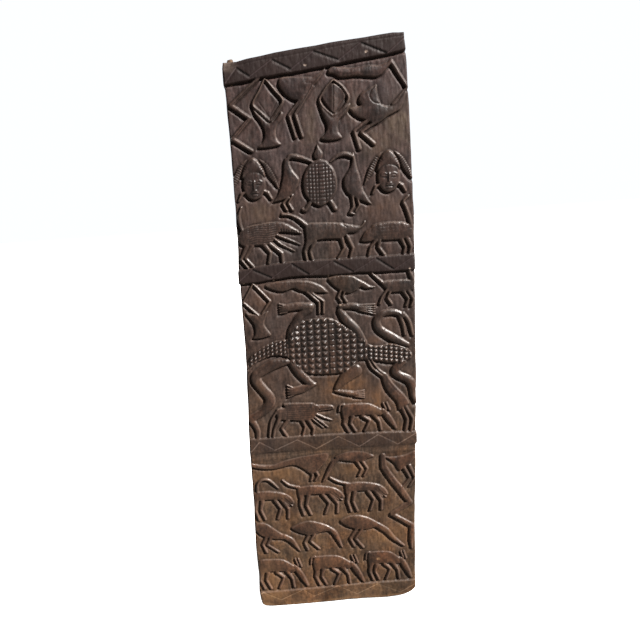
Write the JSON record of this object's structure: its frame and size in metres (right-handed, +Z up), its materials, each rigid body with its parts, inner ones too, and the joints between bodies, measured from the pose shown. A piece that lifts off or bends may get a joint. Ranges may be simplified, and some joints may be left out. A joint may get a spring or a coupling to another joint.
{
  "type": "carved door leaf",
  "caption": "Tall hand-hewn plank door leaf, front carved in low relief with rows of animals and masks between zigzag bands, hung on round pivot pegs at one edge.",
  "frame": {"origin": "middle of the leaf's width and thickness at the level of its foot", "axes": "+Z up the leaf; +Y out of the plain back, so that the carved front faces -Y; +X to the right as seen from the carved side, away from the pivot edge"},
  "size_m": [0.534, 0.04, 1.761],
  "materials": {
    "dark_carved_wood": "hand-cut, dark stained and handled to a soft satin, worn paler at the edges",
    "peg_wood": "whittled bare wood, worn dull"
  },
  "bodies": {
    "root": {"door_leaf": "dark_carved_wood", "upper_pivot_peg": "peg_wood", "lower_pivot_peg": "peg_wood"}
  },
  "joints": []
}
